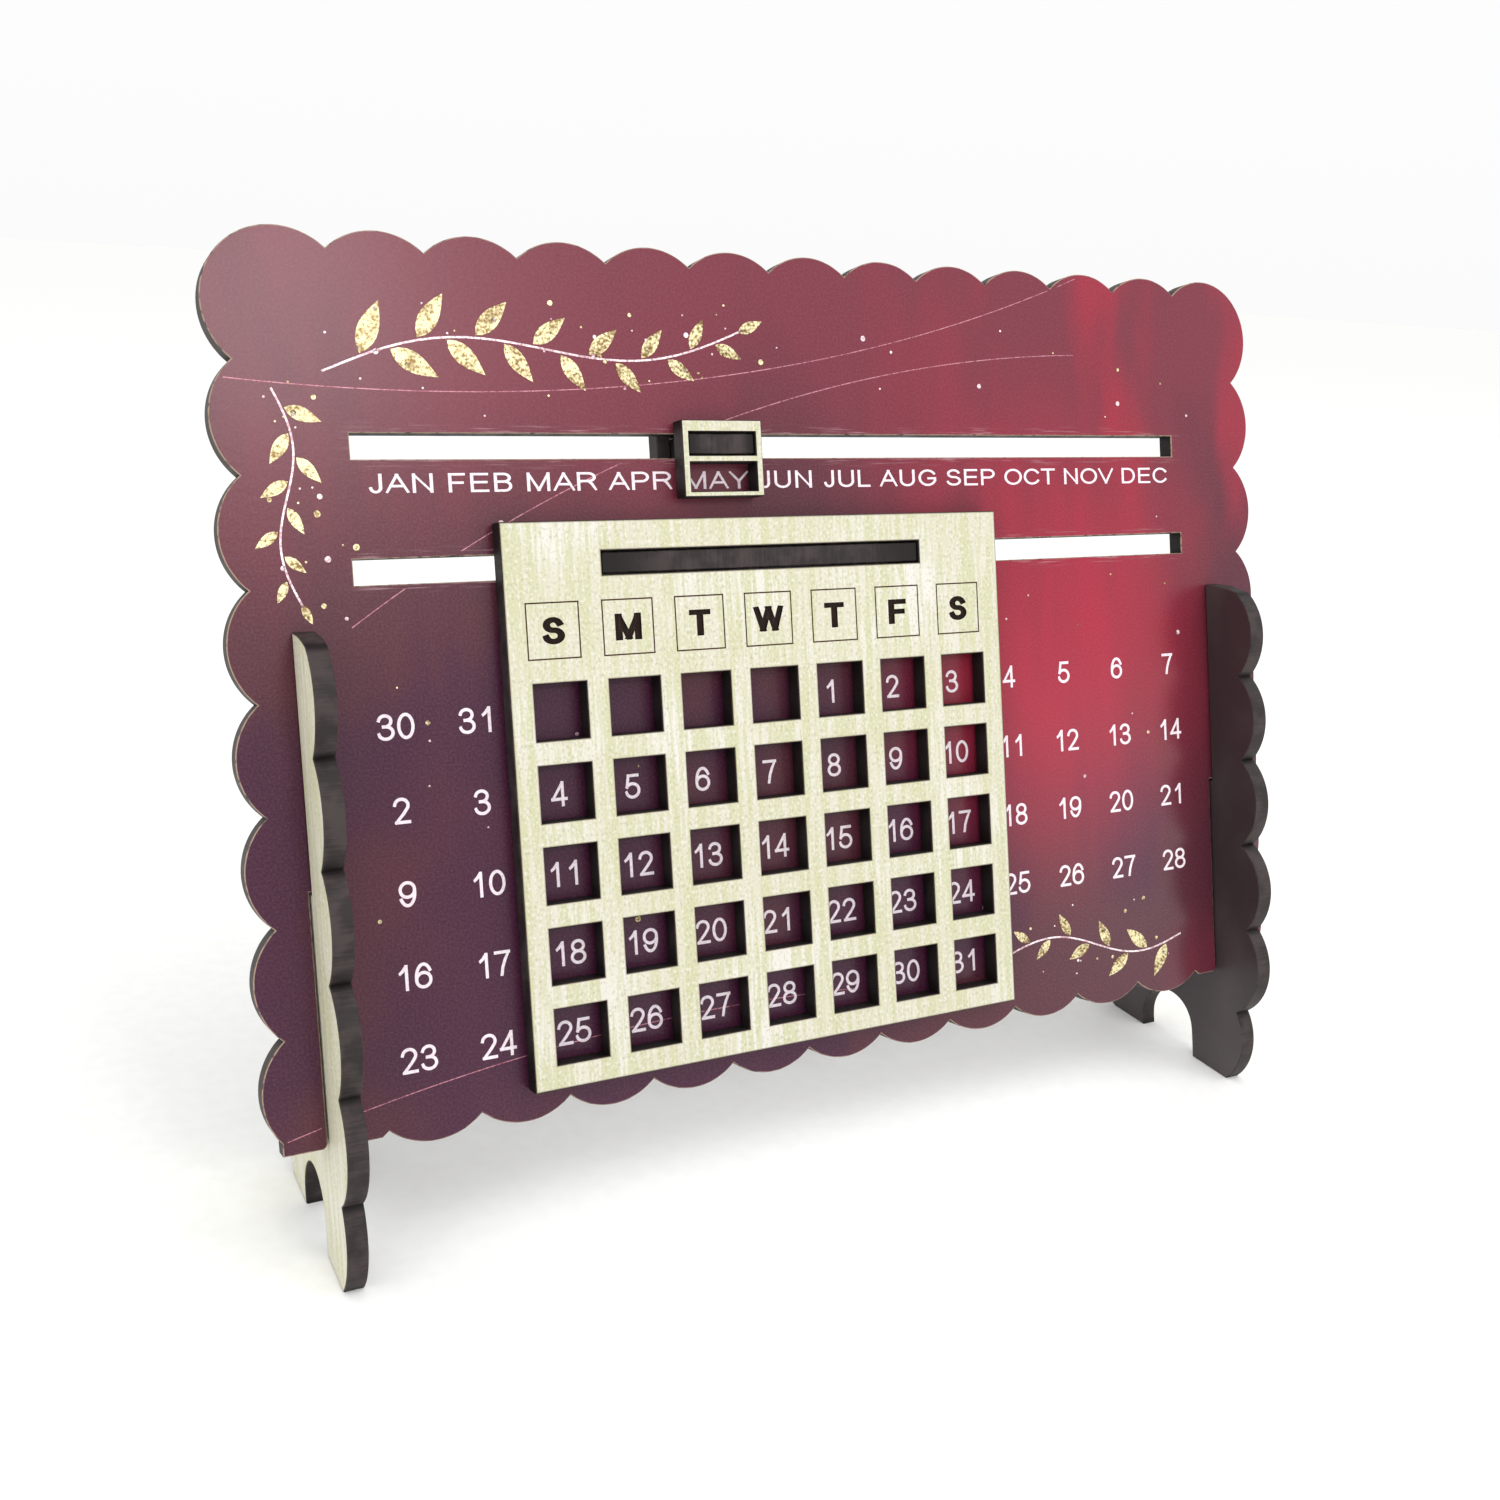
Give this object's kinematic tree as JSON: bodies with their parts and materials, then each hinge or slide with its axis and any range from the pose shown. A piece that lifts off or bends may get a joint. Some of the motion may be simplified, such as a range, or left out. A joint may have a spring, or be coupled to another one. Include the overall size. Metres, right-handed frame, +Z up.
{
  "type": "perpetual desk calendar",
  "caption": "Leaning scalloped board on two slotted stands, with a date grid and a month frame that slide along slots to set the calendar",
  "frame": {"origin": "middle of the part's box on the table, under the board", "axes": "+X along the board to the viewer's right, +Y away from the viewer (the board leans back towards it), +Z up"},
  "size_m": [0.1848, 0.0448, 0.1402],
  "materials": {
    "printed_sheet": "fibreboard with a glossy maroon print on its face",
    "cream_sheet": "fibreboard with a cream wood-grain face and a dark back",
    "charred_sheet": "laser-charred dark brown edge of the sheet"
  },
  "bodies": {
    "board": {"printed_board": "printed_sheet", "left_stand": "cream_sheet", "right_stand": "cream_sheet"},
    "month_slider": {"month_frame": "cream_sheet", "month_tongue": "charred_sheet", "month_keeper": "cream_sheet"},
    "date_slider": {"date_grid": "cream_sheet", "date_tongue": "charred_sheet", "date_keeper": "cream_sheet"}
  },
  "joints": [
    {"name": "month_slide", "type": "slide", "parent": "board", "child": "month_slider", "axis": [1, 0, 0], "range_m": [-0.0501, 0.0865]},
    {"name": "date_slide", "type": "slide", "parent": "board", "child": "date_slider", "axis": [1, 0, 0], "range_m": [-0.0259, 0.0487]}
  ]
}
